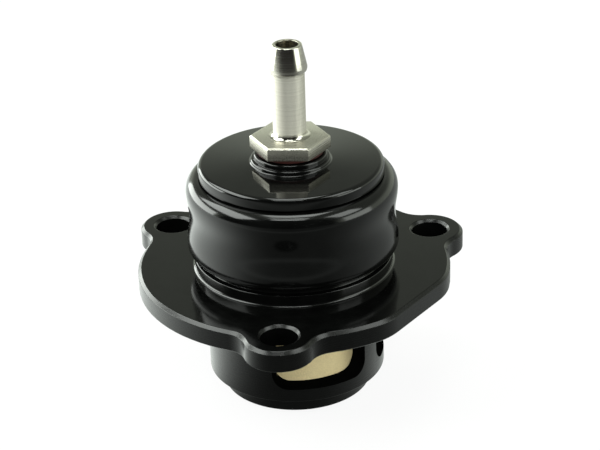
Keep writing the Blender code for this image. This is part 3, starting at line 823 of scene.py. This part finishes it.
# %% Floor
floor_look = Look("white table", Roughness=0.9)
cloth = floor_look.noise(0.05)
floor_look.colour(cloth, (0.80, 0.80, 0.80), (0.84, 0.84, 0.84))
camera_sees = floor_look.add("ShaderNodeLightPath", output=0)
gloss_sees = floor_look.add("ShaderNodeLightPath", output=5)
across, back, _ = floor_look.split(floor_look.place())
at_left = 1 - across.between(-0.04, 0.05)
side = back * (across * across + back * back) ** -0.5
lit = (side + at_left * 0.10).between(-0.95, 0.20) * (0.20 + at_left * 0.75)
front_strip = back.between(-0.150, -0.125) * (1 - back.between(-0.120, -0.092)) * 0.09
in_gloss = floor_look.blend(lit + front_strip, (0.05, 0.053, 0.05), (0.94, 1.0, 0.95))
glow_colour = floor_look.blend(gloss_sees, (0.5, 0.5, 0.5), in_gloss)
glow = floor_look.add("ShaderNodeEmission", None, {"Color": glow_colour, "Strength": 2.0})
seen = floor_look.add(
    "ShaderNodeMixShader", None,
    {0: camera_sees * 0.9 + gloss_sees, 1: Wire(floor_look, floor_look.shader.outputs[0]), 2: glow},
)
floor_look.feed(floor_look.tree.nodes["Material Output"].inputs["Surface"], seen)

# %% The table top
TABLE_RADIUS, TABLE_DROP = 3.0, 0.0002
ground = bmesh.new()
bmesh.ops.create_circle(ground, cap_ends=True, segments=96, radius=TABLE_RADIUS)
ground_mesh = bpy.data.meshes.new("table")
ground.to_mesh(ground_mesh)
ground.free()
ground_mesh.materials.append(floor_look.material)
table = bpy.data.objects.new("table", ground_mesh)
table.location.z = -TABLE_DROP
bpy.context.scene.collection.objects.link(table)

# %% World
world = bpy.data.worlds.new("light tent")
world.use_nodes = True
bpy.context.scene.world = world
tent = Nodes(world.node_tree)
x, y, z = tent.split(tent.add("ShaderNodeTexCoord"))
not_front = (x * 0.19 + y * 0.98).between(-0.50, -0.25)
low = 1 - z.between(0.10, 0.50)
room = tent.blend(not_front * (0.28 + low * 1.15), (0.02, 0.02, 0.02), (0.92, 1.0, 0.84))
white_behind = tent.blend(tent.add("ShaderNodeLightPath"), room, (1, 1, 1))
tent.feed(tent.tree.nodes["Background"].inputs["Color"], white_behind)


# %% Soft boxes
VALVE_MIDDLE = Vector((0, 0, 0.035))


def soft_box(name, place, size, watts):
    """A rectangular lamp that faces the middle of the valve."""
    lamp = bpy.data.lights.new(name, "AREA")
    lamp.shape = "RECTANGLE"
    lamp.size, lamp.size_y = size
    lamp.energy = watts
    lamp.color = (0.95, 1.0, 0.96)
    holder = bpy.data.objects.new(name, lamp)
    bpy.context.scene.collection.objects.link(holder)
    holder.location = place
    aim = VALVE_MIDDLE - holder.location
    holder.rotation_euler = aim.to_track_quat("-Z", "Y").to_euler()
    return holder


soft_box("left box", (-0.465, 0.00, 0.517), (0.75, 0.33), 5.0)
soft_box("low left box", (-0.612, 0.247, 0.155), (0.77, 0.28), 4.6)
soft_box("right box", (0.438, -0.117, 0.473), (0.30, 0.28), 1.0)
soft_box("low right box", (0.646, -0.137, 0.155), (0.41, 0.28), 0.9)
soft_box("top box", (0, 0.12, 0.70), (0.30, 0.30), 1.4)
soft_box("high strip", (0, -0.300, 0.625), (0.30, 0.045), 0.40)
soft_box("higher strip", (0, -0.180, 0.665), (0.30, 0.045), 0.40)
fill = soft_box("front fill", (0.20, -0.60, 0.30), (0.40, 0.40), 4.1)
fill.visible_glossy = False

# %% Camera
SENSOR_WIDTH, PICTURE_WIDTH, FOCAL_PIXELS = 36, 600, 2063.1


def camera_matrix():
    """The camera stands a little off the front ear, looks down and is slightly tilted."""
    pitch, yaw, roll = math.radians(26.272), math.radians(0.22), math.radians(-1.83)
    ahead = Vector((math.sin(yaw), math.cos(yaw), 0))
    forward = ahead * math.cos(pitch) - Vector((0, 0, math.sin(pitch)))
    level = Vector((math.cos(yaw), -math.sin(yaw), 0))
    above = level.cross(forward)
    right = math.cos(roll) * level + math.sin(roll) * above
    up = -math.sin(roll) * level + math.cos(roll) * above
    matrix = Matrix((right, up, -forward)).transposed().to_4x4()
    matrix.translation = Vector((0, -0.340, 0.1992))
    return Matrix.Translation(AXIS) @ Matrix.Rotation(math.radians(6.2), 4, "Z") @ matrix


lens = bpy.data.cameras.new("camera")
lens.sensor_width = SENSOR_WIDTH
lens.lens = SENSOR_WIDTH * FOCAL_PIXELS / PICTURE_WIDTH
lens.clip_start = 0.01
camera = bpy.data.objects.new("camera", lens)
bpy.context.scene.collection.objects.link(camera)
camera.matrix_world = camera_matrix()
bpy.context.scene.camera = camera
bpy.context.scene.view_settings.view_transform = "Standard"
